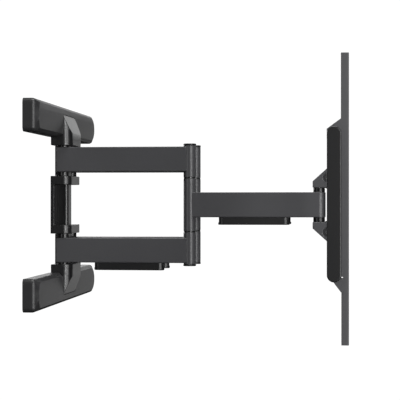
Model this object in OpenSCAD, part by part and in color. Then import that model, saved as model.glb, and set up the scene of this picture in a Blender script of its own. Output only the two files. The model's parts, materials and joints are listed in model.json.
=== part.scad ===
// Full motion wall mount for a flat television.
// +X points from the wall into the room, +Y along the wall, +Z up, and the origin is on the wall,
// midway between the four wall bolts. All sizes are in millimetres.

/* [Wall rails] */
// Length of each rail cover along the wall
cover_l = 472; // [460:1:520]
// Height of each rail cover
cover_h = 50; // [48:1:54]
// Depth of the crowned cover at its middle, from the wall
cover_front = 24.6; // [23:0.1:25]
// Height of the middle of each rail above or below the origin
rail_z = 134.5; // [134:0.5:136]
// Spacing of the wall studs that the rails are bolted to
stud_spacing = 406.4; // [380:0.1:406.4]

/* [Arms] */
// Distance between the pivots of one arm
arm_l = 206.7; // [190:0.1:240]
// Lean of each rear arm from straight out when the mount is fully extended
arm_lean = 1.25; // [0.5:0.05:2]
// Width of an arm tube
tube_w = 20; // [18:0.5:20]
// Height of a rear arm tube
rear_h = 40; // [38:0.5:41]
// Height of a front arm tube
front_h = 40; // [38:0.5:40]
// Wall thickness of an arm tube
tube_t = 2.5; // [2:0.1:3]
// Length of a cable trough
trough_l = 114.5; // [80:0.5:120]
// Depth of a cable trough below its arm
trough_h = 12; // [8:0.5:12]

/* [Pivots] */
// Distance of the shoulder pins from the wall
pivot_x = 21; // [20.5:0.5:22]
// Distance of the shoulder and head pins from the middle
pivot_y = 32; // [32:0.5:34]
// Radius of the shoulder and head pins
pin_r = 5; // [4:0.1:5]
// Radius of the elbow shafts
shaft_r = 6; // [5:0.1:6]
// Running clearance on the radius of a pin or a shaft
run_gap = 0.05; // [0.02:0.01:0.09]

/* [Television side] */
// Length of the horizontal rails that carry the television brackets
tv_rail_l = 456; // [440:1:470]
// Height of the stadium-shaped end caps
cap_h = 227; // [226:1:230]
// Length of each television bracket
bracket_l = 428; // [426:1:440]
// Spacing of the television screws, across and up
vesa = 400; // [390:1:400]
// Largest tilt up or down
tilt_max = 8; // [4:0.5:8]

/* [Hidden] */
$fn = 64;
through = 1;

// Wall rails and their covers
rail_t = 3;
rail_d = 15;
rail_h = 44;
rail_l = cover_l - 8;
cover_edge = 19.7;
cover_back = 0.5;
cover_t = 2.2;
cover_corner = 7;
crown = cover_front - cover_edge;
crown_r = (cover_h * cover_h / 4 + crown * crown) / (2 * crown);
slot_r = 4.5;
slot_l = 30;
spare_y = 76.2;
clip_y = [-205, -120, 120, 205];
clip_half = 8;

// Brackets on the wall and the column between them
outer_front = 36.5;
outer_z = 96.4;
outer_top = 145.5;
slope_z = 115.5;
slope_x = 23.3;
outer_half = pivot_y + outer_front - pivot_x;
mid_front = 34.4;
mid_back = 2;
mid_plate = 8;
mid_half = pivot_y + mid_front - pivot_x;
ear_z0 = 32.8;
ear_z1 = 46.7;
column_front = 25;
column_half = 16;
column_z = 139;
column_r = 5;
column_t = 2.5;
screw_y = 40;
screw_z = 128;
screw_r = 2.9;
screw_hole_r = 3.1;
screw_tap_r = 3;
screw_depth = 10;
screw_back = 0.2;
head_depth = 2;
head_r = 5;
head_hole_r = 5.2;
pin_sink = 14;

// Rear arms
elbow_x = pivot_x + arm_l * cos(arm_lean);
elbow_y = pivot_y + arm_l * sin(arm_lean);
rear_z0 = 53.4;
rear_z1 = rear_z0 + rear_h;
tail = 10;
cope = 4.3;
plug_skin = 2.3;
plug_half = 9;
plug_gap = 0.3;
half_w = tube_w / 2;
bush_r = 8.5;
stem_r = 7;
stem_l = 7;
rest_gap = 0.1;
post_r = 10;
post_z = 95.5;
cap_t = 2.8;
cap_r = 10.4;
seam_z = 44.1;

// Front arms
front_z = front_h / 2;
front_start = 4.4;
sleeve_z = 42.3;
liner_r = 7.5;
liner_l = 16;
collar_r = 9.6;
collar_t = 1.7;
head_bush_r = 8.9;
head_stem_l = 12;
knuckle_z = 27.4;
trough_r = 9;
trough_t = 1.8;
mouth_half = 4.5;
mouth_h = 8;
rear_trough_x = 51;
front_trough_x = 45.8;

// Head yoke
head_x = pivot_x + 2 * arm_l * cos(arm_lean);
yoke_back = head_x - 9.8;
yoke_half = 44;
yoke_front = head_x + 22;
yoke_shoulder = 37.5;
yoke_top = 58.4;
yoke_top_x = head_x + 13.4;
gap_back = head_x - 3.8;
gap_half = 19.5;
web_x0 = head_x + 14.7;
web_x1 = head_x + 18.7;
web_waist = 18;
bolt_x = head_x + 14;
bolt_z = 43.5;
bolt_r = 4;
pocket_r = 7.8;
pocket_y = 40.5;
washer_t = 1;
washer_r = 7.3;
cap_head_r = 6.3;
cap_head_out = 0.5;
socket_r = 2.9;
socket_depth = 2.5;
bolt_tip = 8;
nut_h = 6;
nut_r = 7.5;
nut_gap = 0.2;
pin_z = 40;

// Tilt plates: the tilt turns about a line in front of the television brackets
tilt_x = head_x + 69.7;
tilt_r = norm([tilt_x - bolt_x, bolt_z]);
tilt_a = atan2(bolt_z, bolt_x - tilt_x);
slot_half = bolt_r + 0.3;
slot_relief = 0.2;
lobe_r = 7;
flange_y0 = 15;
flange_y1 = 18;
spine_w = 7;
spine_z = 36.8;
lobe_start = 4;
foot_t = 2.5;
foot_in = 2;
foot_y = 8;
foot_screw_z = 26;
foot_screw_r = 2.5;
foot_hole_r = 2.6;
foot_head_r = 4.5;
foot_head_h = 1.5;

// Television plate
plate_z = 1.5;
plate_x0 = head_x + 31.2;
plate_x1 = head_x + 34.2;
plate_half = 105;
window_y = 75;
window_w = 34;
window_h = 120;
window_r = 8;
tv_rail_x0 = head_x + 18.7;
tv_rail_x1 = head_x + 34.6;
tv_rail_z0 = 88;
tv_rail_z1 = 108;
tv_rail_t = 2;
tv_cap_x0 = head_x + 14.7;
tv_cap_x1 = head_x + 35.7;
tv_cap_r = (tv_cap_x1 - tv_cap_x0) / 2;
tv_cap_y0 = tv_rail_l / 2 - 9;
tv_cap_y1 = tv_rail_l / 2 + 3;
tv_cap_t = 2;
tv_cap_hollow = 15;
tv_cap_band = 5;

// Television brackets
bracket_y = vesa / 2;
bracket_z = 9.2;
bracket_front = head_x + 46.9;
bracket_back = head_x + 35;
bracket_low_back = head_x + 35.7;
bracket_half = 14;
bracket_t = 2.5;
bracket_top = bracket_z + bracket_l / 2;
bracket_bottom = bracket_z - bracket_l / 2;
hook_back = head_x + 14.4;
hook_in = tv_rail_x0 - 0.3;
hook_end = 97.5;
hook_top = 112;
hook_slope = 127;
lip_back = head_x + 24.7;
lip_z = -113.5;
lip_floor = -112.5;
lip_t = 2.5;
lip_slope = -128;
rail_gap = 0.3;
vesa_hole_r = 4.2;
side_hole_x = head_x + 37;
side_hole_z = [-105.8, -128.4];
side_hole_r = 1.75;
safety_x = head_x + 30.2;
safety_r = 2.5;
safety_hole_r = 2.6;
safety_head_r = 4.5;
safety_head_h = 3.5;

// ---- helpers ----

// A block between two corners.
module block(x0, x1, y0, y1, z0, z1) {
    translate([x0, y0, z0]) cube([x1 - x0, y1 - y0, z1 - z0]);
}

// Round bars along each axis.
module bar_x(y, z, x0, x1, r) {
    translate([x0, y, z]) rotate([0, 90, 0]) cylinder(h = x1 - x0, r = r);
}
module bar_y(x, z, y0, y1, r) {
    translate([x, y0, z]) rotate([-90, 0, 0]) cylinder(h = y1 - y0, r = r);
}
module bar_z(x, y, z0, z1, r) {
    translate([x, y, z0]) cylinder(h = z1 - z0, r = r);
}

// An outline in X and Z, extruded along Y.
module sheet_y(y0, y1) {
    translate([0, y1, 0]) rotate([90, 0, 0]) linear_extrude(y1 - y0) children();
}

// An outline in Y and Z, extruded along X.
module sheet_x(x0, x1) {
    translate([x0, 0, 0]) rotate([90, 0, 90]) linear_extrude(x1 - x0) children();
}

// A rectangle with round corners.
module soft_square(w, h, r) {
    square([w - 2 * r, h], center = true);
    square([w, h - 2 * r], center = true);
    for (x = [-1, 1], y = [-1, 1])
        translate([x * (w / 2 - r), y * (h / 2 - r)]) circle(r);
}

// The same shape again on the other side, or below.
module both_sides() {
    children();
    mirror([0, 1, 0]) children();
}
module above_and_below() {
    children();
    mirror([0, 0, 1]) children();
}

// Places along the left arms: X runs from one pivot to the next.
module rear_left() {
    translate([pivot_x, -pivot_y, 0]) rotate([0, 0, -arm_lean]) children();
}
module front_left() {
    translate([elbow_x, -elbow_y, 0]) rotate([0, 0, arm_lean]) children();
}

// ---- wall bracket ----

// Steel channel, open to the room, with slots for the wall bolts.
module wall_rail() {
    color("#2b2b2c") difference() {
        block(0, rail_d, -rail_l / 2, rail_l / 2, rail_z - rail_h / 2, rail_z + rail_h / 2);
        block(rail_t, rail_d + through, -rail_l / 2 - through, rail_l / 2 + through,
            rail_z - rail_h / 2 + rail_t, rail_z + rail_h / 2 - rail_t);
        block(rail_t, rail_d + through, -outer_half - rail_gap, outer_half + rail_gap,
            rail_z - rail_h / 2 - through, rail_z - rail_h / 2 + rail_t + through);
        for (y = [-1, 1] * stud_spacing / 2)
            sheet_x(-through, rail_t + through) translate([y, rail_z]) bolt_slot();
        for (y = [-2, -1, 1, 2] * spare_y)
            bar_x(y, rail_z, -through, rail_t + through, slot_r);
        for (y = [-1, 1] * screw_y) {
            bar_x(y, screw_z, -through, head_depth, head_hole_r);
            bar_x(y, screw_z, -through, rail_t + through, screw_hole_r);
        }
    }
}

module bolt_slot() {
    square([slot_l - 2 * slot_r, 2 * slot_r], center = true);
    for (y = [-1, 1] * (slot_l / 2 - slot_r)) translate([y, 0]) circle(slot_r);
}

// The outer shape of a rail cover, or the hollow inside it when inset is the wall thickness.
module cover_shape(back, inset) {
    intersection() {
        sheet_x(back, cover_front) translate([0, rail_z])
            soft_square(cover_l - 2 * inset, cover_h - 2 * inset, cover_corner - inset);
        bar_y(cover_front - inset - crown_r, rail_z, -cover_l / 2, cover_l / 2, crown_r);
    }
}

// Moulded cover that snaps over a rail, cut away around the arm bracket.
module rail_cover() {
    color("#4a4a4c") difference() {
        cover_shape(cover_back, 0);
        cover_shape(-through, cover_t);
        block(-through, cover_front + through, -outer_half - rail_gap, outer_half + rail_gap,
            rail_z - cover_h, outer_top + rail_gap);
    }
}

// Clips between the rails and their covers.
module cover_clips() {
    color("#202020") above_and_below() for (y = clip_y)
        block(rail_d, cover_edge - cover_t - rest_gap, y - clip_half, y + clip_half,
            rail_z + rail_h / 2 - rail_t, rail_z + rail_h / 2);
}

// Folded column that joins the two rails.
module centre_column() {
    color("#3c3c3e") difference() {
        union() {
            block(mid_plate, column_front - column_r, -column_half, column_half, -column_z, column_z);
            block(mid_plate, column_front, column_r - column_half, column_half - column_r,
                -column_z, column_z);
            both_sides() bar_z(column_front - column_r, column_half - column_r,
                -column_z, column_z, column_r);
        }
        block(mid_plate - through, column_front - column_t, column_t - column_half,
            column_half - column_t, -column_z - through, column_z + through);
    }
}

// A block whose front corners are round about the two pivots.
module arm_block(back, front, z0, z1) {
    r = front - pivot_x;
    block(back, pivot_x, -pivot_y - r, pivot_y + r, z0, z1);
    block(back, front, -pivot_y, pivot_y, z0, z1);
    both_sides() bar_z(pivot_x, pivot_y, z0, z1, r);
}

// Cast bracket on a rail, with a sloping face that runs into the cover.
module outer_bracket() {
    color("#454547") difference() {
        arm_block(rail_t, outer_front, outer_z, outer_top);
        sheet_y(-outer_half - through, outer_half + through) polygon([
            [outer_front, slope_z], [slope_x, outer_top],
            [slope_x, outer_top + through], [outer_front + through, outer_top + through],
            [outer_front + through, slope_z]
        ]);
        block(mid_plate, column_front, -column_half, column_half, outer_z - through, column_z);
        both_sides() bar_z(pivot_x, pivot_y, outer_z - through, outer_z + pin_sink, pin_r + run_gap);
        both_sides() bar_x(screw_y, screw_z, rail_t - through, rail_t + screw_depth + through, screw_tap_r);
    }
}

// Plate with two ears that hold the inner ends of the shoulder pins.
module arm_bracket_middle() {
    color("#454547") difference() {
        union() {
            block(mid_back, mid_plate, -mid_half, mid_half, -ear_z1, ear_z1);
            above_and_below() arm_block(mid_plate, mid_front, ear_z0, ear_z1);
        }
        block(mid_plate, column_front, -column_half, column_half,
            -ear_z1 - through, ear_z1 + through);
        above_and_below() both_sides()
            bar_z(pivot_x, pivot_y, ear_z0 - through, ear_z1 + through, pin_r + run_gap);
    }
}

// Countersunk screws that hold the cast brackets on the rails, entered from the wall side.
module bracket_screws() {
    color("#8a8a8c") above_and_below() both_sides() {
        bar_x(screw_y, screw_z, screw_back, head_depth, head_r);
        bar_x(screw_y, screw_z, head_depth, rail_t + screw_depth, screw_r);
    }
}

module shoulder_pins() {
    color("#9a9a9c") above_and_below()
        bar_z(pivot_x, -pivot_y, ear_z0 + through, outer_z + pin_sink - through, pin_r);
}

// ---- rear arms ----

// Rectangular tube, drilled for the shoulder bushes and shaped to meet the elbow sleeve.
module rear_tube() {
    color("#464648") rear_left() difference() {
        block(-tail, arm_l - cope, -half_w, half_w, rear_z0, rear_z1);
        block(-tail - through, arm_l, tube_t - half_w, half_w - tube_t,
            rear_z0 + tube_t, rear_z1 - tube_t);
        bar_z(0, 0, rear_z0 - through, rear_z1 + through, stem_r + run_gap);
        bar_z(arm_l, 0, rear_z0 - through, rear_z1 + through, post_r);
    }
}

// A flanged bush on the axis of a pin: its collar goes from z0 up to z1 and its stem up from there.
module bush(z0, z1, collar, stem, length, hole) {
    difference() {
        union() {
            bar_z(0, 0, z0, z1, collar);
            bar_z(0, 0, z1, z1 + length, stem);
        }
        bar_z(0, 0, z0 - through, z1 + length + through, hole);
    }
}

module shoulder_bushes() {
    color("#151515") rear_left() above_and_below() {
        bush(ear_z1 + rest_gap, rear_z0, bush_r, stem_r, stem_l, pin_r + run_gap);
        mirror([0, 0, 1])
            bush(rest_gap - outer_z, -rear_z1, bush_r, stem_r, stem_l, pin_r + run_gap);
    }
}

// Plugs in the tails of the rear tubes, with a skin that also screens the bushes from behind.
module tube_plugs() {
    color("#151515") rear_left() above_and_below() {
        block(-tail, -stem_r - rest_gap, tube_t - half_w + rest_gap,
            half_w - tube_t - rest_gap, rear_z0 + tube_t + rest_gap, rear_z1 - tube_t - rest_gap);
        block(-tail - plug_skin, -tail, -plug_half, plug_half, ear_z1 + plug_gap, outer_z - plug_gap);
    }
}

// Sleeves welded to the ends of the two rear tubes.
module elbow_sleeves() {
    color("#464648") rear_left() above_and_below() difference() {
        bar_z(arm_l, 0, seam_z, post_z, post_r);
        bar_z(arm_l, 0, seam_z - through, post_z + through, shaft_r + run_gap);
    }
}

module elbow_shaft() {
    color("#9a9a9c") rear_left() bar_z(arm_l, 0, -post_z, post_z, shaft_r);
}

module elbow_caps() {
    color("#121212") rear_left() above_and_below()
        bar_z(arm_l, 0, post_z, post_z + cap_t, cap_r);
}

// Clip-on trough below a tube: open above, with a mouth for the cables at each end.
module trough(x0, top) {
    length = trough_l - 2 * trough_r;
    difference() {
        trough_block(x0 + trough_r, length, top - trough_h, top, trough_r);
        trough_block(x0 + trough_r, length, top - trough_h + trough_t, top + through,
            trough_r - trough_t);
        block(x0 - through, x0 + trough_l + through, -mouth_half, mouth_half, top - mouth_h, top + through);
    }
}

module trough_block(x0, length, z0, z1, r) {
    block(x0, x0 + length, -r, r, z0, z1);
    for (x = [x0, x0 + length]) bar_z(x, 0, z0, z1, r);
}

module cable_trough_rear() {
    color("#262627") rear_left() trough(rear_trough_x, -rear_z1);
}

// ---- front arms ----

// Rectangular tube that meets the middle sleeve and ends round about the head pin.
module front_tube() {
    color("#464648") front_left() difference() {
        union() {
            block(front_start, arm_l, -half_w, half_w, -front_z, front_z);
            bar_z(arm_l, 0, -front_z, front_z, half_w);
        }
        block(0, arm_l - half_w - tube_t, tube_t - half_w, half_w - tube_t,
            tube_t - front_z, front_z - tube_t);
        bar_z(0, 0, -front_z - through, front_z + through, post_r);
        bar_z(arm_l, 0, -front_z - through, front_z + through, liner_r + run_gap);
    }
}

module front_sleeve() {
    color("#464648") front_left() difference() {
        bar_z(0, 0, -sleeve_z, sleeve_z, post_r);
        bar_z(0, 0, -sleeve_z - through, sleeve_z + through, liner_r + run_gap);
    }
}

module elbow_bushes() {
    color("#151515") front_left() above_and_below() mirror([0, 0, 1])
        bush(-sleeve_z - collar_t, -sleeve_z, collar_r, liner_r, liner_l, shaft_r + run_gap);
}

module head_bushes() {
    color("#151515") front_left() translate([arm_l, 0, 0]) above_and_below() mirror([0, 0, 1])
        bush(rest_gap - knuckle_z, -front_z, head_bush_r, liner_r, head_stem_l, pin_r + run_gap);
}

module cable_trough_front() {
    color("#262627") front_left() trough(front_trough_x, -front_z);
}

// ---- head yoke ----

// Cast wing: a cheek on each side of a gap for the tilt plates, joined behind them.
module yoke_wing() {
    color("#48484a") difference() {
        sheet_y(-yoke_half, yoke_half) polygon([
            [yoke_back, knuckle_z], [yoke_back, yoke_shoulder], [yoke_top_x, yoke_top],
            [yoke_front, yoke_top], [yoke_front, knuckle_z]
        ]);
        block(gap_back, yoke_front + through, -gap_half, gap_half,
            knuckle_z - through, yoke_top + through);
        both_sides() {
            bar_z(head_x, pivot_y, knuckle_z - through, pin_z + through, pin_r + run_gap);
            bar_y(bolt_x, bolt_z, 0, yoke_half + through, bolt_r + run_gap);
            bar_y(bolt_x, bolt_z, pocket_y, yoke_half + through, pocket_r);
        }
    }
}

// Plate that holds the two wings apart, narrow in the middle to clear the tilt plates.
module yoke_web() {
    color("#3a3a3c") difference() {
        block(web_x0, web_x1, -yoke_half, yoke_half, -knuckle_z, knuckle_z);
        above_and_below() block(web_x0 - through, web_x1 + through, -gap_half, gap_half,
            web_waist, knuckle_z + through);
    }
}

module head_pins() {
    color("#9a9a9c") both_sides() bar_z(head_x, pivot_y, -pin_z, pin_z, pin_r);
}

// Socket screws that guide and clamp the tilt plates.
module tilt_bolts() {
    color("#1c1c1d") above_and_below() both_sides() difference() {
        union() {
            bar_y(bolt_x, bolt_z, bolt_tip, pocket_y + washer_t, bolt_r);
            bar_y(bolt_x, bolt_z, pocket_y + washer_t, yoke_half + cap_head_out, cap_head_r);
        }
        translate([bolt_x, yoke_half + cap_head_out + through, bolt_z]) rotate([90, 0, 0])
            cylinder(h = socket_depth + through, r = socket_r, $fn = 6);
    }
}

module tilt_washers() {
    color("#b0b0b2") above_and_below() both_sides() difference() {
        bar_y(bolt_x, bolt_z, pocket_y, pocket_y + washer_t, washer_r);
        bar_y(bolt_x, bolt_z, pocket_y - through, pocket_y + washer_t + through, bolt_r + run_gap);
    }
}

module tilt_nuts() {
    color("#8a8a8c") above_and_below() both_sides() difference() {
        translate([bolt_x, flange_y0 - nut_gap, bolt_z]) rotate([90, 0, 0])
            cylinder(h = nut_h, r = nut_r, $fn = 6);
        bar_y(bolt_x, bolt_z, bolt_tip - through, flange_y0, bolt_r + run_gap);
    }
}

// ---- television plate ----

// A point on the path of a guide bolt, at an angle from the bolt's place at rest.
function on_arc(r, a) = [tilt_x + r * cos(tilt_a + a), r * sin(tilt_a + a)];

// The curved slot in which a guide bolt travels, a little wider at its ends.
module guide_slot() {
    reach = 3 * tilt_r;
    intersection() {
        difference() {
            translate([tilt_x, 0]) circle(tilt_r + slot_half);
            translate([tilt_x, 0]) circle(tilt_r - slot_half);
        }
        polygon([[tilt_x, 0], on_arc(reach, -tilt_max), on_arc(reach, tilt_max)]);
    }
    for (a = [-tilt_max, tilt_max]) translate(on_arc(tilt_r, a)) circle(slot_half + slot_relief);
}

// The upper half of a tilt plate: a band along the slot and a web to the television plate.
module flange_outline() {
    turn = 2 * tilt_max + asin(lobe_r / tilt_r);
    polygon(concat(
        [for (i = [0:6]) on_arc(tilt_r + lobe_r, i / 6 * turn - tilt_max)],
        [for (i = [6:-1:3]) on_arc(tilt_r - lobe_r, i / 6 * turn - tilt_max)],
        [[plate_x0, spine_z - lobe_start], [plate_x0, yoke_top]]
    ));
}

// Upright plate with a curved slot about each guide bolt.
// Its foot is screwed to the television plate.
module tilt_flange() {
    color("#2e2e30") difference() {
        union() {
            above_and_below() sheet_y(-flange_y1, -flange_y0) flange_outline();
            block(plate_x0 - spine_w, plate_x0, -flange_y1, -flange_y0, -spine_z, spine_z);
            block(plate_x0 - foot_t, plate_x0, -flange_y0, -foot_in, -spine_z, spine_z);
        }
        for (z = [-1, 1] * foot_screw_z)
            bar_x(-foot_y, z, plate_x0 - foot_t - through, plate_x0 + through, foot_hole_r);
        above_and_below() sheet_y(-flange_y1 - through, through - flange_y0) guide_slot();
    }
}

// Pressed plate between the two horizontal rails.
module tv_plate() {
    color("#333335") difference() {
        block(plate_x0, plate_x1, -plate_half, plate_half,
            plate_z - tv_rail_z0, plate_z + tv_rail_z0);
        for (y = [-1, 1] * window_y)
            sheet_x(plate_x0 - through, plate_x1 + through) translate([y, plate_z])
                soft_square(window_w, window_h, window_r);
        for (y = [-1, 1] * foot_y, z = [-1, 1] * foot_screw_z)
            bar_x(y, z, plate_x0 - through, plate_x1 + through, foot_hole_r);
    }
}

// Box rail that the television brackets hang on.
module tv_rail() {
    color("#333335") translate([0, 0, plate_z]) difference() {
        block(tv_rail_x0, tv_rail_x1, -tv_rail_l / 2, tv_rail_l / 2, tv_rail_z0, tv_rail_z1);
        block(tv_rail_x0 + tv_rail_t, tv_rail_x1 - tv_rail_t,
            -tv_rail_l / 2 - through, tv_rail_l / 2 + through,
            tv_rail_z0 + tv_rail_t, tv_rail_z1 - tv_rail_t);
    }
}

// The upright stadium outline of an end cap.
module stadium(r, h) {
    square([2 * r, h - 2 * r], center = true);
    for (s = [-1, 1]) translate([0, s * (h / 2 - r)]) circle(r);
}

// Moulded cap over the ends of both rails.
module end_cap() {
    color("#2d2d2e") difference() {
        sheet_y(-tv_cap_y1, -tv_cap_y0) translate([tv_cap_x0 + tv_cap_r, plate_z])
            stadium(tv_cap_r, cap_h);
        sheet_y(tv_cap_t - tv_cap_y1, through - tv_cap_y0)
            translate([tv_cap_x0 + tv_cap_r, plate_z])
                square([tv_cap_hollow, 2 * (tv_rail_z0 - tv_cap_band)], center = true);
        translate([0, 0, plate_z]) above_and_below() block(tv_rail_x0 - rest_gap,
            tv_rail_x1 + rest_gap, -tv_rail_l / 2 - rest_gap, -tv_cap_y0 + through,
            tv_rail_z0 - rest_gap, tv_rail_z1 + rest_gap);
    }
}

// Screws that hold the tilt plates' feet to the television plate.
module flange_screws() {
    color("#8a8a8c") for (y = [-1, 1] * foot_y, z = [-1, 1] * foot_screw_z) {
        bar_x(y, z, plate_x0 - foot_t, plate_x1, foot_screw_r);
        bar_x(y, z, plate_x0 - foot_t - foot_head_h, plate_x0 - foot_t, foot_head_r);
    }
}

// ---- television brackets ----

// Side wall of a bracket: a hook over the upper rail and a lip below the lower one.
module bracket_side() {
    polygon([
        [bracket_front, bracket_top], [bracket_back, bracket_top], [bracket_back, hook_slope],
        [hook_back, hook_top], [hook_back, hook_end], [hook_in, hook_end],
        [hook_in, plate_z + tv_rail_z1 + rail_gap], [bracket_back, plate_z + tv_rail_z1 + rail_gap],
        [bracket_back, plate_z - tv_rail_z1 - rail_gap], [lip_back, plate_z - tv_rail_z1 - rail_gap],
        [lip_back, lip_z], [bracket_low_back, lip_slope], [bracket_low_back, bracket_bottom],
        [bracket_front, bracket_bottom]
    ]);
}

// Folded channel with the screw holes for the television.
module tv_bracket() {
    y0 = -bracket_y - bracket_half;
    y1 = -bracket_y + bracket_half;
    color("#555557") difference() {
        union() {
            sheet_y(y0, y0 + bracket_t) bracket_side();
            sheet_y(y1 - bracket_t, y1) bracket_side();
            block(bracket_front - bracket_t, bracket_front, y0, y1, bracket_bottom, bracket_top);
            block(lip_back + through, bracket_back, y0, y1, lip_floor, lip_floor + lip_t);
        }
        for (z = [-4, -3, -2, 2, 3, 4] * vesa / 8)
            bar_x(-bracket_y, bracket_z + z, bracket_front - 2 * bracket_t,
                bracket_front + through, vesa_hole_r);
        for (z = side_hole_z) bar_y(side_hole_x, z, y0 - through, y1 + through, side_hole_r);
        bar_z(safety_x, -bracket_y, lip_floor - through, lip_floor + lip_t + through, safety_hole_r);
    }
}

// Screw under the lower rail that keeps a bracket from lifting or sliding.
module safety_screw() {
    color("#8a8a8c") {
        bar_z(safety_x, -bracket_y, lip_floor, plate_z - tv_rail_z1 - rail_gap, safety_r);
        bar_z(safety_x, -bracket_y, lip_floor - safety_head_h, lip_floor, safety_head_r);
    }
}

// ---- assembly ----

module lower() {
    mirror([0, 0, 1]) children();
}
module right() {
    mirror([0, 1, 0]) children();
}

wall_rail();  // wall_rail_upper
lower() wall_rail();  // wall_rail_lower
rail_cover();  // rail_cover_upper
lower() rail_cover();  // rail_cover_lower
cover_clips();
centre_column();
outer_bracket();  // arm_bracket_upper
arm_bracket_middle();
lower() outer_bracket();  // arm_bracket_lower
bracket_screws();
shoulder_pins();  // shoulder_pins_left
right() shoulder_pins();  // shoulder_pins_right
rear_tube();  // rear_tube_upper_left
lower() rear_tube();  // rear_tube_lower_left
shoulder_bushes();  // shoulder_bushes_left
tube_plugs();  // tube_plugs_left
elbow_sleeves();  // elbow_sleeves_left
elbow_shaft();  // elbow_shaft_left
elbow_caps();  // elbow_caps_left
cable_trough_rear();  // cable_trough_rear_left
right() rear_tube();  // rear_tube_upper_right
lower() right() rear_tube();  // rear_tube_lower_right
right() shoulder_bushes();  // shoulder_bushes_right
right() tube_plugs();  // tube_plugs_right
right() elbow_sleeves();  // elbow_sleeves_right
right() elbow_shaft();  // elbow_shaft_right
right() elbow_caps();  // elbow_caps_right
right() cable_trough_rear();  // cable_trough_rear_right
front_tube();  // front_tube_left
front_sleeve();  // front_sleeve_left
elbow_bushes();  // elbow_bushes_left
head_bushes();  // head_bushes_left
cable_trough_front();  // cable_trough_front_left
right() front_tube();  // front_tube_right
right() front_sleeve();  // front_sleeve_right
right() elbow_bushes();  // elbow_bushes_right
right() head_bushes();  // head_bushes_right
right() cable_trough_front();  // cable_trough_front_right
yoke_wing();  // yoke_wing_upper
lower() yoke_wing();  // yoke_wing_lower
yoke_web();
head_pins();
tilt_bolts();
tilt_washers();
tilt_nuts();
tilt_flange();  // tilt_flange_left
right() tilt_flange();  // tilt_flange_right
tv_plate();
tv_rail();  // tv_rail_upper
lower() translate([0, 0, -2 * plate_z]) tv_rail();  // tv_rail_lower
end_cap();  // end_cap_left
right() end_cap();  // end_cap_right
flange_screws();
tv_bracket();  // tv_bracket_left
right() tv_bracket();  // tv_bracket_right
safety_screw();  // safety_screw_left
right() safety_screw();  // safety_screw_right
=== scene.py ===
import json
import math

import bmesh
import bpy
from mathutils import Matrix, Vector


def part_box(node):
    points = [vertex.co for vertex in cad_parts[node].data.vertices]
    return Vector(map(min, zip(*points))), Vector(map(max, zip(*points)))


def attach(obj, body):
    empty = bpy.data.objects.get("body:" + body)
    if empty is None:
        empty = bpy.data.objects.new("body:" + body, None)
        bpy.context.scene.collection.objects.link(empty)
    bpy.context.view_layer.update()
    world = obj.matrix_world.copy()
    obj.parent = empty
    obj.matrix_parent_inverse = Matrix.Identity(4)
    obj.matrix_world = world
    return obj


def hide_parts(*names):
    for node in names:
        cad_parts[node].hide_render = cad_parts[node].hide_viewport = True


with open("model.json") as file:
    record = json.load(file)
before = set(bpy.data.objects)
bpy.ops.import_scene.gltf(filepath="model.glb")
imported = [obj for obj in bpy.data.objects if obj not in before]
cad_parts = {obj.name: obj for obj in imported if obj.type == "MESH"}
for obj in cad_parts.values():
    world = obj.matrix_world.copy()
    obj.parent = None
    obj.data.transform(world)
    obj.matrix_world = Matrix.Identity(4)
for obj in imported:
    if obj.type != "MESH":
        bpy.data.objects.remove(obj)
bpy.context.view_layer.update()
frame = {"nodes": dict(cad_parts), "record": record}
record = frame["record"]
bodyOf = {node: body for body, nodes in record["behaviour"]["bodies"].items() for node in nodes}
slotOf = {part["node"]: part["material_slot"] for part in record["subparts"]}
mm = 0.001
print("frame loaded:", len(frame["nodes"]), "nodes")


# camera, lights and floor: metres and watts

cameraSet = {
    "lens": 123.84,                          # long lens, so the arms stay nearly parallel
    "sensor": 36,
    "farthest": 50,
    "place": (0.4713, -2.2338, 0.0077),
    "upright": 90,                           # degrees, level with the floor
    "turn": 5.9,                             # degrees from square on to the side of the mount
}
lightSet = {
    "room": (0.006, 0.006, 0.006, 1.0),      # black cloth round the set
    "paper": (1.0, 1.0, 1.0, 1.0),           # white paper behind, seen by the camera only
    "paperGlow": 1.05,
    "aim": (0.24, 0.0, 0.0),
    "boxes": {
        "keyBox": {"place": (2.15, -1.4, 0.1), "size": (0.6, 2.2), "watts": 24},
        # narrow strip that draws the line down the round posts
        "stripBox": {"place": (1.6, -2.25, 0.15), "size": (0.22, 2.4), "watts": 46,
                     "shadow": False},
        "topBox": {"place": (0.5, -0.4, 2.1), "size": (1.4, 1.0), "watts": 46},
        "leftBox": {"place": (-1.5, -2.2, 0.3), "size": (0.8, 2.0), "watts": 10},
        "backBox": {"place": (0.65, 3.0, -0.3), "size": (1.0, 1.4), "watts": 2.3},
        "backTopBox": {"place": (-0.05, 3.0, 0.8), "size": (1.5, 0.7), "watts": 4.6},
        "backSideBox": {"place": (-1.1, 3.0, 0.4), "size": (1.5, 0.9), "watts": 5.0},
        # lights the side that faces the wall
        "wallBox": {"place": (-2.2, 2.0, 0.9), "size": (1.2, 1.2), "watts": 60},
    },
}
floorSet = {"drop": 1.5, "reach": 6.0, "colour": "#F4F4F2", "rough": 0.95,
            "glow": 0.85}                    # the paper is lit from below too


def linear(hexColour):
    values = [int(hexColour[i:i + 2], 16) / 255 for i in (1, 3, 5)]
    return [v / 12.92 if v <= 0.04045 else ((v + 0.055) / 1.055) ** 2.4 for v in values] + [1.0]


# one node, with its inputs given as plain values or as the sockets that feed them
def addNode(tree, kind, links=None, **settings):
    node = tree.nodes.new(kind)
    for key, value in settings.items():
        setattr(node, key, value)
    for key, value in (links or {}).items():
        if isinstance(value, bpy.types.NodeSocket):
            tree.links.new(value, node.inputs[key])
        else:
            node.inputs[key].default_value = value
    return node


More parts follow.
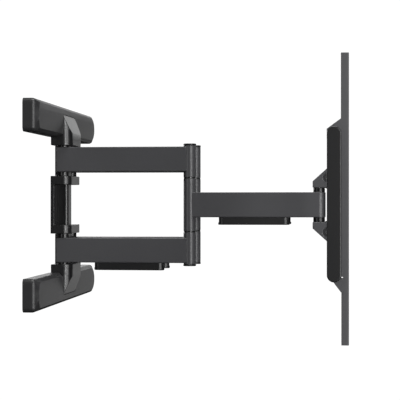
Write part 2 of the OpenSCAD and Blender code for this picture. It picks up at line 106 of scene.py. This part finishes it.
def addCamera():
    data = bpy.data.cameras.new("camera")
    data.lens = cameraSet["lens"]
    data.sensor_width = cameraSet["sensor"]
    data.clip_end = cameraSet["farthest"]
    camera = bpy.data.objects.new("camera", data)
    camera.location = cameraSet["place"]
    camera.rotation_euler = (math.radians(cameraSet["upright"]), 0, math.radians(cameraSet["turn"]))
    bpy.context.collection.objects.link(camera)
    bpy.context.scene.camera = camera


def addLights():
    aim = Vector(lightSet["aim"])
    for name, box in lightSet["boxes"].items():
        data = bpy.data.lights.new(name, "AREA")
        data.shape = "RECTANGLE"
        data.size, data.size_y = box["size"]
        data.energy = box["watts"]
        data.use_shadow = box.get("shadow", True)
        light = bpy.data.objects.new(name, data)
        light.location = box["place"]
        light.visible_camera = False
        light.rotation_euler = (aim - light.location).to_track_quat("-Z", "Y").to_euler()
        bpy.context.collection.objects.link(light)
    world = bpy.data.worlds.new("studio")
    bpy.context.scene.world = world
    world.use_nodes = True
    tree = world.node_tree
    tree.nodes.clear()
    ray = addNode(tree, "ShaderNodeLightPath")
    room = addNode(tree, "ShaderNodeBackground", {"Color": lightSet["room"]})
    paper = addNode(tree, "ShaderNodeBackground", {"Color": lightSet["paper"],
                                                   "Strength": lightSet["paperGlow"]})
    mix = addNode(tree, "ShaderNodeMixShader", {0: ray.outputs["Is Camera Ray"],
                                                1: room.outputs[0], 2: paper.outputs[0]})
    addNode(tree, "ShaderNodeOutputWorld", {"Surface": mix.outputs[0]})


def addFloor():
    bm = bmesh.new()
    bmesh.ops.create_grid(bm, x_segments=1, y_segments=1, size=floorSet["reach"])
    bmesh.ops.translate(bm, verts=bm.verts, vec=(0, 0, -floorSet["drop"]))
    mesh = bpy.data.meshes.new("paperFloor")
    bm.to_mesh(mesh)
    bm.free()
    paper = bpy.data.materials.new("whiteBackdropPaper")
    paper.use_nodes = True
    shader = paper.node_tree.nodes["Principled BSDF"]
    shader.inputs["Base Color"].default_value = linear(floorSet["colour"])
    shader.inputs["Roughness"].default_value = floorSet["rough"]
    shader.inputs["Emission Color"].default_value = lightSet["paper"]
    shader.inputs["Emission Strength"].default_value = floorSet["glow"]
    mesh.materials.append(paper)
    floor = bpy.data.objects.new("paperFloor", mesh)
    floor.visible_glossy = False
    floor.visible_diffuse = False
    bpy.context.collection.objects.link(floor)


bpy.context.scene.view_settings.view_transform = "Standard"
addCamera()
addLights()
addFloor()
print("camera, lights and floor ready")


# finishes
# grain is the spacing of the surface's waves and bump their height, in millimetres;
# real orange peel and mould grain lie 0.2 to 0.5 mm apart, drawn coarser here so that they show

finishSet = {
    # polyester powder coat, baked on steel: fine orange peel and a soft sheen
    "armPowderCoat": {"colour": "#434345", "rough": 0.34, "grain": 0.9, "bump": 0.020,
                      "mottle": 0.05, "specular": 0.45},
    # the same coat on the castings, a little coarser over the cast skin
    "castPowderCoat": {"colour": "#464648", "rough": 0.36, "grain": 1.4, "bump": 0.035,
                       "mottle": 0.07, "specular": 0.5},
    # glossier black coat on the castings that the arms hang from
    "castBlackCoat": {"colour": "#161617", "rough": 0.31, "grain": 1.3, "bump": 0.026,
                      "mottle": 0.07, "specular": 0.6},
    # thinner black coat on the pressed plate and the wall rails
    "blackPowderCoat": {"colour": "#2C2C2E", "rough": 0.5, "grain": 1.0, "bump": 0.022,
                        "mottle": 0.05, "specular": 0.45},
    # mid grey coat on the folded television brackets
    "bracketPowderCoat": {"colour": "#464648", "rough": 0.5, "grain": 0.9, "bump": 0.020,
                          "mottle": 0.04, "specular": 0.4},
    # ABS moulded in a spark-eroded tool: even satin grain on the rail covers
    "coverAbs": {"colour": "#2C2C2D", "rough": 0.38, "grain": 0.7, "bump": 0.018,
                 "mottle": 0.03, "specular": 0.36},
    # darker ABS on the end caps and cable troughs
    "capAbs": {"colour": "#161617", "rough": 0.36, "grain": 0.7, "bump": 0.018,
               "mottle": 0.03, "specular": 0.5},
    # black acetal bushes and caps, smooth from the mould
    "blackAcetal": {"colour": "#141415", "rough": 0.28, "grain": 2.5, "bump": 0.006,
                    "mottle": 0.02, "specular": 0.5},
    # black oxide on the socket screws
    "blackOxide": {"colour": "#262627", "rough": 0.34, "grain": 1.2, "bump": 0.010,
                   "mottle": 0.08, "specular": 0.5},
    # bright zinc plate: small spangle and a cool tint
    "zincPlate": {"colour": "#B9BBBE", "rough": 0.32, "grain": 1.6, "bump": 0.010,
                  "mottle": 0.10, "metal": 1.0},
    # ground steel pins, with lines round the pin
    "groundSteel": {"colour": "#A8A9AB", "rough": 0.26, "grain": 0.6, "bump": 0.010,
                    "mottle": 0.05, "metal": 1.0, "stretch": (1, 1, 12)},
}
finishOf = {
    "rail_steel": "blackPowderCoat", "cover_plastic": "coverAbs", "black_plastic": "blackAcetal",
    "frame_steel": "castBlackCoat", "zinc_steel": "zincPlate", "pin_steel": "groundSteel",
    "arm_steel": "armPowderCoat", "trough_plastic": "capAbs", "yoke_steel": "castPowderCoat",
    "bolt_steel": "blackOxide", "plate_steel": "blackPowderCoat", "cap_plastic": "capAbs",
    "bracket_steel": "bracketPowderCoat",
}
grainSet = {"detail": 3.0, "rough": 0.6, "low": 0.3, "high": 0.7, "strength": 0.6,
            "glossier": 0.04, "duller": 0.05}           # change in roughness over the waves
cloudSet = {"size": 38, "detail": 4.0, "rough": 0.55}   # slow change in tone, millimetres


def makeFinish(name, look):
    material = bpy.data.materials.new(name)
    material.use_nodes = True
    tree = material.node_tree
    shader = tree.nodes["Principled BSDF"]
    colour = linear(look["colour"])
    place = addNode(tree, "ShaderNodeTexCoord").outputs["Object"]
    turned = addNode(tree, "ShaderNodeMapping", {"Vector": place,
                                                 "Scale": look.get("stretch", (1, 1, 1))})
    grain = addNode(tree, "ShaderNodeTexNoise", {
        "Vector": turned.outputs[0], "Scale": 1 / (look["grain"] * mm),
        "Detail": grainSet["detail"], "Roughness": grainSet["rough"]})
    cloud = addNode(tree, "ShaderNodeTexNoise", {
        "Vector": place, "Scale": 1 / (cloudSet["size"] * mm),
        "Detail": cloudSet["detail"], "Roughness": cloudSet["rough"]})
    span = look["mottle"]
    dark = [c * (1 - span) for c in colour[:3]] + [1]
    pale = [c * (1 + span) for c in colour[:3]] + [1]
    tint = addNode(tree, "ShaderNodeMix", {0: cloud.outputs["Fac"], 6: dark, 7: pale},
                   data_type="RGBA")
    speck = addNode(tree, "ShaderNodeMapRange", {
        "Value": grain.outputs["Fac"], "From Min": grainSet["low"], "From Max": grainSet["high"],
        "To Min": look["rough"] - grainSet["glossier"],
        "To Max": look["rough"] + grainSet["duller"]})
    bump = addNode(tree, "ShaderNodeBump", {
        "Height": grain.outputs["Fac"], "Strength": grainSet["strength"],
        "Distance": look["bump"] * mm})
    tree.links.new(tint.outputs[2], shader.inputs["Base Color"])
    tree.links.new(speck.outputs[0], shader.inputs["Roughness"])
    tree.links.new(bump.outputs[0], shader.inputs["Normal"])
    shader.inputs["Metallic"].default_value = look.get("metal", 0.0)
    shader.inputs["Specular IOR Level"].default_value = look.get("specular", 0.5)
    return material


finish = {name: makeFinish(name, look) for name, look in finishSet.items()}
print("finishes ready:", len(finish))


# steps that the pieces share

edgeSet = {
    "flat": 0.6,        # degrees: faces this close to flat become one
    "sharp": 32,        # degrees: an edge that bends more is an edge, not a curve
    "weld": 0.002,      # millimetres
    "long": 90,         # millimetres: a fold along a whole tube or rail
    "onPlane": 0.05,    # millimetres
    "cut": 0.0001,      # millimetres
    "square": 0.9,      # a face whose normal has this much of X lies across X
}


def shadeSoft(bm):
    for face in bm.faces:
        face.smooth = True
    limit = math.radians(edgeSet["sharp"])
    for edge in bm.edges:
        edge.smooth = len(edge.link_faces) == 2 and edge.calc_face_angle() < limit


# wall is the thickness of a shell in millimetres
def addPiece(bm, name, node, wall=None):
    shadeSoft(bm)
    mesh = bpy.data.meshes.new(name)
    bm.to_mesh(mesh)
    bm.free()
    mesh.materials.append(finish[finishOf[slotOf[node]]])
    piece = bpy.data.objects.new(name, mesh)
    bpy.context.collection.objects.link(piece)
    if wall:
        shell = piece.modifiers.new("wall", "SOLIDIFY")
        shell.thickness = wall * mm
        shell.offset = -1
        shell.use_even_offset = True
    normals = piece.modifiers.new("normals", "WEIGHTED_NORMAL")
    normals.keep_sharp = True
    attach(piece, bodyOf[node])
    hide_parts(node)


def sharpEdges(bm, test=None):
    limit = math.radians(edgeSet["sharp"])
    return [edge for edge in bm.edges if len(edge.link_faces) == 2
            and edge.calc_face_angle() > limit and (test is None or test(edge))]


def roundOff(bm, edges, radius, segments):
    bmesh.ops.bevel(bm, geom=edges, offset=radius * mm, offset_type="OFFSET", segments=segments,
                    profile=0.5, affect="EDGES", clamp_overlap=False, material=-1)


# a frame node with its folds rounded by foldRadius and every other edge eased by soft, millimetres
def softCopy(node, name, soft, steps=2, fold=None, foldRadius=2.0, foldSteps=4):
    bm = bmesh.new()
    bm.from_mesh(frame["nodes"][node].data)
    bmesh.ops.remove_doubles(bm, verts=bm.verts, dist=edgeSet["weld"] * mm)
    bmesh.ops.dissolve_limit(bm, angle_limit=math.radians(edgeSet["flat"]), verts=bm.verts,
                             edges=bm.edges)
    if fold:
        roundOff(bm, sharpEdges(bm, fold), foldRadius, foldSteps)
    roundOff(bm, sharpEdges(bm), soft, steps)
    addPiece(bm, name, node)


def longOutside(edge):
    return edge.is_convex and edge.calc_length() > edgeSet["long"] * mm


# picks the edges that lie in a plane across an axis
def onPlane(axis, place):
    def test(edge):
        return all(abs(v.co[axis] - place) < edgeSet["onPlane"] * mm for v in edge.verts)
    return test


def cutPlane(bm, place, normal):
    bmesh.ops.bisect_plane(bm, geom=bm.verts[:] + bm.edges[:] + bm.faces[:],
                           dist=edgeSet["cut"] * mm, plane_co=place, plane_no=normal)


# wall side

# a moulded shell, all in millimetres but the arc: an upright wall to the shoulder, a fillet,
# then a raised panel with its own round corners and a slight crown, cut out for the arm bracket
coverSet = {
    "corner": 7.0, "cornerSteps": 8, "wall": 2.2,
    "shoulder": 13.8, "fillet": 7.0, "arc": 55, "arcSteps": 5,
    "panelEdge": 22.8, "panelCorner": 17.0, "panelInset": (8.0, 5.4), "panelLip": 0.6,
    "crown": 1.9, "crownCuts": 10,
    "bow": 0.3, "bowReach": 45.0, "bowCuts": 6,          # the crown fades towards both ends
    "gap": 0.3,                                          # clear of the arm bracket
}


# one upright face with round corners, looking along X
def roundedPlate(bm, x, middle, wide, tall, corner):
    made = bmesh.ops.create_grid(bm, x_segments=1, y_segments=1, size=0.5)["verts"]
    bmesh.ops.rotate(bm, verts=made, matrix=Matrix.Rotation(math.radians(90), 3, "Y"))
    bmesh.ops.scale(bm, verts=made, vec=(1, wide, tall))
    bmesh.ops.translate(bm, verts=made, vec=(x, 0, middle))
    old = set(bm.faces) - {made[0].link_faces[0]}
    bmesh.ops.bevel(bm, geom=made, offset=corner, offset_type="OFFSET",
                    segments=coverSet["cornerSteps"], profile=0.5, affect="VERTICES", material=-1)
    return next(f for f in bm.faces if f not in old)


# the open shell up to the end of its fillet, and the loop that is left there
def coverBody(bm, low, middle, wide, tall):
    roundedPlate(bm, low.x, middle, wide, tall, coverSet["corner"] * mm)
    front = bmesh.ops.extrude_face_region(bm, geom=bm.faces[:])["geom"]
    for v in [g for g in front if isinstance(g, bmesh.types.BMVert)]:
        v.co.x = coverSet["shoulder"] * mm
    face = next(g for g in front if isinstance(g, bmesh.types.BMFace))
    back = [f for f in bm.faces if f is not face and abs(f.normal.x) > edgeSet["square"]]
    bmesh.ops.delete(bm, geom=back, context="FACES_ONLY")
    bmesh.ops.recalc_face_normals(bm, faces=bm.faces[:])
    if face.normal.x < 0:
        bmesh.ops.reverse_faces(bm, faces=bm.faces[:])
    radius, steps = coverSet["fillet"] * mm, coverSet["arcSteps"]
    turns = [math.radians(coverSet["arc"]) * k / steps for k in range(steps + 1)]
    for a, b in zip(turns, turns[1:]):
        bmesh.ops.inset_region(bm, faces=[face], use_even_offset=True,
                               thickness=radius * (math.cos(a) - math.cos(b)),
                               depth=radius * (math.sin(b) - math.sin(a)))
    rim = list(face.edges)
    bmesh.ops.delete(bm, geom=[face], context="FACES_ONLY")
    return rim


def makeCover(name, node, bracket, up):
    low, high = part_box(node)
    tall, wide = high.z - low.z, high.y - low.y
    middle = (low.z + high.z) / 2
    bm = bmesh.new()
    rim = coverBody(bm, low, middle, wide, tall)
    insetY, insetZ = (2 * value * mm for value in coverSet["panelInset"])
    panel = roundedPlate(bm, coverSet["panelEdge"] * mm, middle, wide - insetY, tall - insetZ,
                         coverSet["panelCorner"] * mm)
    if panel.normal.x < 0:
        bmesh.ops.reverse_faces(bm, faces=[panel])
    bmesh.ops.bridge_loops(bm, edges=rim + list(panel.edges))
    bmesh.ops.inset_region(bm, faces=[panel], thickness=coverSet["panelLip"] * mm,
                           use_even_offset=True)
    # rows for the crown, columns for its ends, and the outline of the cut-out
    for k in range(1, coverSet["crownCuts"]):
        cutPlane(bm, (0, 0, low.z + tall * k / coverSet["crownCuts"]), (0, 0, 1))
    notch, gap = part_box(bracket), coverSet["gap"] * mm
    side = notch[1].y + gap
    top = notch[1].z + gap if up else notch[0].z - gap
    reach, cuts = coverSet["bowReach"] * mm, coverSet["bowCuts"]
    for y in [high.y - insetY / 2 - reach * k / cuts for k in range(1, cuts + 1)] + [side]:
        cutPlane(bm, (0, y, 0), (0, 1, 0))
        cutPlane(bm, (0, -y, 0), (0, 1, 0))
    cutPlane(bm, (0, 0, top), (0, 0, 1))
    halfZ, endY = (tall - insetZ) / 2, (wide - insetY) / 2
    for v in bm.verts:
        if v.co.x > (coverSet["panelEdge"] - edgeSet["weld"]) * mm:
            along = max(0, 1 - (endY - abs(v.co.y)) / reach)
            across = min(1, abs(v.co.z - middle) / halfZ)
            crown = coverSet["crown"] - coverSet["bow"] * along ** 2
            v.co.x += crown * mm * (1 - across ** 2)
    hole = [f for f in bm.faces if abs(f.calc_center_median().y) < side
            and (f.calc_center_median().z < top) == up]
    bmesh.ops.delete(bm, geom=hole, context="FACES")
    addPiece(bm, name, node, wall=coverSet["wall"])


wallRail = {"soft": 0.3, "fold": longOutside, "foldRadius": 2.0}
armBracket = {"soft": 0.7, "steps": 3}
armBracketMiddle = {"soft": 0.8, "steps": 3}
centreColumn = {"soft": 0.4}
coverClips = {"soft": 0.3}
bracketScrews = {"soft": 0.3}

makeCover("railCoverUpper", "rail_cover_upper", "arm_bracket_upper", True)
makeCover("railCoverLower", "rail_cover_lower", "arm_bracket_lower", False)
for place in ("Upper", "Lower"):
    softCopy("wall_rail_" + place.lower(), "wallRail" + place, **wallRail)
    softCopy("arm_bracket_" + place.lower(), "armBracket" + place, **armBracket)
softCopy("arm_bracket_middle", "armBracketMiddle", **armBracketMiddle)
softCopy("centre_column", "centreColumn", **centreColumn)
softCopy("cover_clips", "coverClips", **coverClips)
softCopy("bracket_screws", "bracketScrews", **bracketScrews)
print("wall side ready")


# arms

armTube = {"soft": 0.35, "fold": longOutside, "foldRadius": 1.9}
shoulderPins = {"soft": 0.5}
shoulderBushes = {"soft": 0.5}
tubePlugs = {"soft": 0.5}
elbowSleeves = {"soft": 0.9, "steps": 3}
elbowShaft = {"soft": 0.5}
elbowCaps = {"soft": 1.2, "steps": 4}
frontSleeve = {"soft": 0.9, "steps": 3}
elbowBushes = {"soft": 0.3}
headBushes = {"soft": 0.6}
cableTrough = {"soft": 0.25, "foldRadius": 1.4}          # the fold runs along its floor

for side in ("left", "right"):
    end = side.capitalize()
    for place in ("Upper", "Lower"):
        softCopy(f"rear_tube_{place.lower()}_{side}", f"rearTube{place}{end}", **armTube)
    softCopy(f"front_tube_{side}", "frontTube" + end, **armTube)
    softCopy(f"shoulder_pins_{side}", "shoulderPins" + end, **shoulderPins)
    softCopy(f"shoulder_bushes_{side}", "shoulderBushes" + end, **shoulderBushes)
    softCopy(f"tube_plugs_{side}", "tubePlugs" + end, **tubePlugs)
    softCopy(f"elbow_sleeves_{side}", "elbowSleeves" + end, **elbowSleeves)
    softCopy(f"elbow_shaft_{side}", "elbowShaft" + end, **elbowShaft)
    softCopy(f"elbow_caps_{side}", "elbowCaps" + end, **elbowCaps)
    softCopy(f"front_sleeve_{side}", "frontSleeve" + end, **frontSleeve)
    softCopy(f"elbow_bushes_{side}", "elbowBushes" + end, **elbowBushes)
    softCopy(f"head_bushes_{side}", "headBushes" + end, **headBushes)
    for arm in ("rear", "front"):
        node = f"cable_trough_{arm}_{side}"
        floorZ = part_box(node)[0].z
        softCopy(node, f"cableTrough{arm.capitalize()}{end}", fold=onPlane(2, floorZ),
                 **cableTrough)
print("arms ready")


# head and television side

yokeWing = {"soft": 0.9, "steps": 3}
yokeWeb = {"soft": 0.6}
headPins = {"soft": 0.5}
tiltBolts = {"soft": 0.4}
tiltWashers = {"soft": 0.2}
tiltNuts = {"soft": 0.4}
tiltFlange = {"soft": 0.3}
tvPlate = {"soft": 0.5}
flangeScrews = {"soft": 0.4}
tvRail = {"soft": 0.3, "fold": longOutside, "foldRadius": 2.4}
endCap = {"soft": 0.4, "foldRadius": 1.8, "foldSteps": 5}
tvBracket = {"soft": 0.3, "foldRadius": 1.8}
safetyScrew = {"soft": 0.4}

onFace = onPlane(0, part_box("tv_bracket_left")[1].x)


def tvBracketFold(edge):
    return longOutside(edge) and onFace(edge)


for place in ("Upper", "Lower"):
    softCopy("yoke_wing_" + place.lower(), "yokeWing" + place, **yokeWing)
    softCopy("tv_rail_" + place.lower(), "tvRail" + place, **tvRail)
softCopy("yoke_web", "yokeWeb", **yokeWeb)
softCopy("head_pins", "headPins", **headPins)
softCopy("tilt_bolts", "tiltBolts", **tiltBolts)
softCopy("tilt_washers", "tiltWashers", **tiltWashers)
softCopy("tilt_nuts", "tiltNuts", **tiltNuts)
softCopy("tv_plate", "tvPlate", **tvPlate)
softCopy("flange_screws", "flangeScrews", **flangeScrews)
for side in ("left", "right"):
    end = side.capitalize()
    softCopy("tilt_flange_" + side, "tiltFlange" + end, **tiltFlange)
    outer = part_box("end_cap_" + side)[0 if side == "left" else 1].y
    softCopy("end_cap_" + side, "endCap" + end, fold=onPlane(1, outer), **endCap)
    softCopy("tv_bracket_" + side, "tvBracket" + end, fold=tvBracketFold, **tvBracket)
    softCopy("safety_screw_" + side, "safetyScrew" + end, **safetyScrew)
print("head and television side ready")
